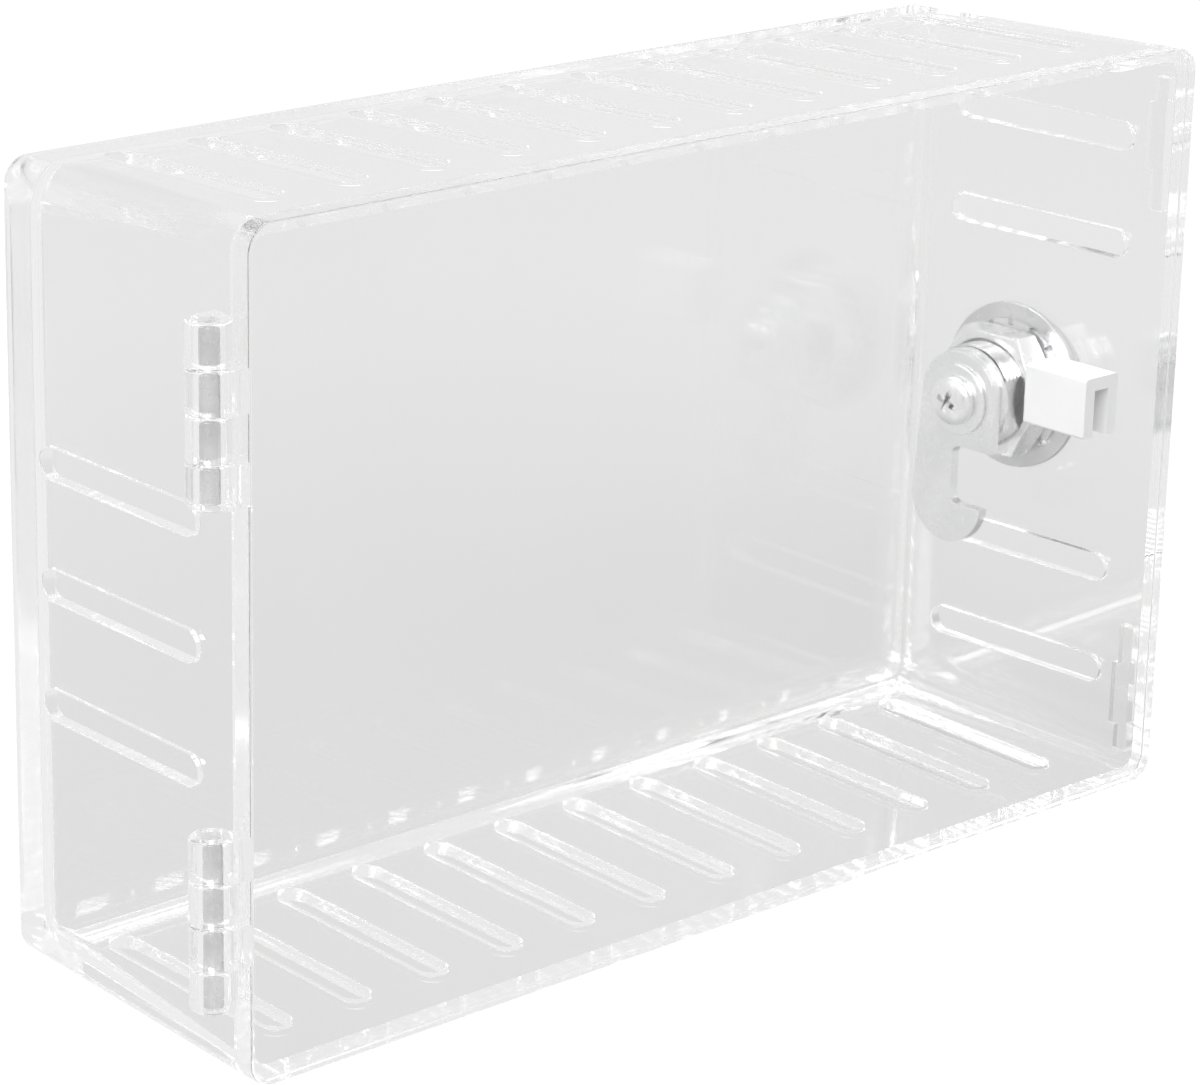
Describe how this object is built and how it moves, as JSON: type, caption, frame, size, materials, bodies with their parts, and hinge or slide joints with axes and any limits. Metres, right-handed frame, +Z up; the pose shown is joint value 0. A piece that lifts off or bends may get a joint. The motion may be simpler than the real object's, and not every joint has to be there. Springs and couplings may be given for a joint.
{
  "type": "thermostat lock box",
  "caption": "Clear plastic lock box for a wall thermostat: flat wall plate and a deep vented cover that swings on side hinges and is held shut by a cam lock.",
  "frame": {"origin": "centre of the wall plate's outer face, the face that lies against the wall", "axes": "+X runs to the lock side, +Y away from the wall into the room, +Z up"},
  "size_m": [0.2208, 0.0633, 0.136],
  "materials": {
    "clear_plastic": "clear, polished",
    "catch_plastic": "moulded, opaque light grey",
    "pin_steel": "plain drawn steel",
    "lock_chrome": "bright plating",
    "zinc_steel": "bright zinc plating",
    "wafer_brass": "plain",
    "spring_steel": "plain"
  },
  "bodies": {
    "base": {"base_plate": "clear_plastic", "cam_catch": "catch_plastic", "upper_hinge_pin": "pin_steel", "lower_hinge_pin": "pin_steel"},
    "cover": {"cover_shell": "clear_plastic", "lock_housing": "lock_chrome", "backing_washer": "zinc_steel", "tooth_washer": "zinc_steel", "lock_nut": "zinc_steel"},
    "plug": {"lock_plug": "lock_chrome", "stop_washer": "zinc_steel", "lock_cam": "zinc_steel", "cam_washer": "zinc_steel", "cam_screw": "zinc_steel", "wafer_spring_1": "spring_steel", "wafer_spring_2": "spring_steel", "wafer_spring_3": "spring_steel", "wafer_spring_4": "spring_steel", "wafer_spring_5": "spring_steel"},
    "wafers": {"wafer_1": "wafer_brass", "wafer_2": "wafer_brass", "wafer_3": "wafer_brass", "wafer_4": "wafer_brass", "wafer_5": "wafer_brass"}
  },
  "joints": [
    {"name": "cover_hinge", "type": "hinge", "parent": "base", "child": "cover", "pos_m": [-0.10905, 0.00415, 0], "axis": [0, 0, 1], "range_deg": [0, 97]},
    {"name": "lock_turn", "type": "hinge", "parent": "cover", "child": "plug", "pos_m": [0.08682, 0.03617, 0], "axis": [-0.9997, -0.0244, 0], "range_deg": [0, 90]},
    {"name": "wafer_slide", "type": "slide", "parent": "plug", "child": "wafers", "axis": [0, 0, 1], "range_m": [0, 0.0007], "deforming": ["wafer_spring_1", "wafer_spring_2", "wafer_spring_3", "wafer_spring_4", "wafer_spring_5"]}
  ]
}
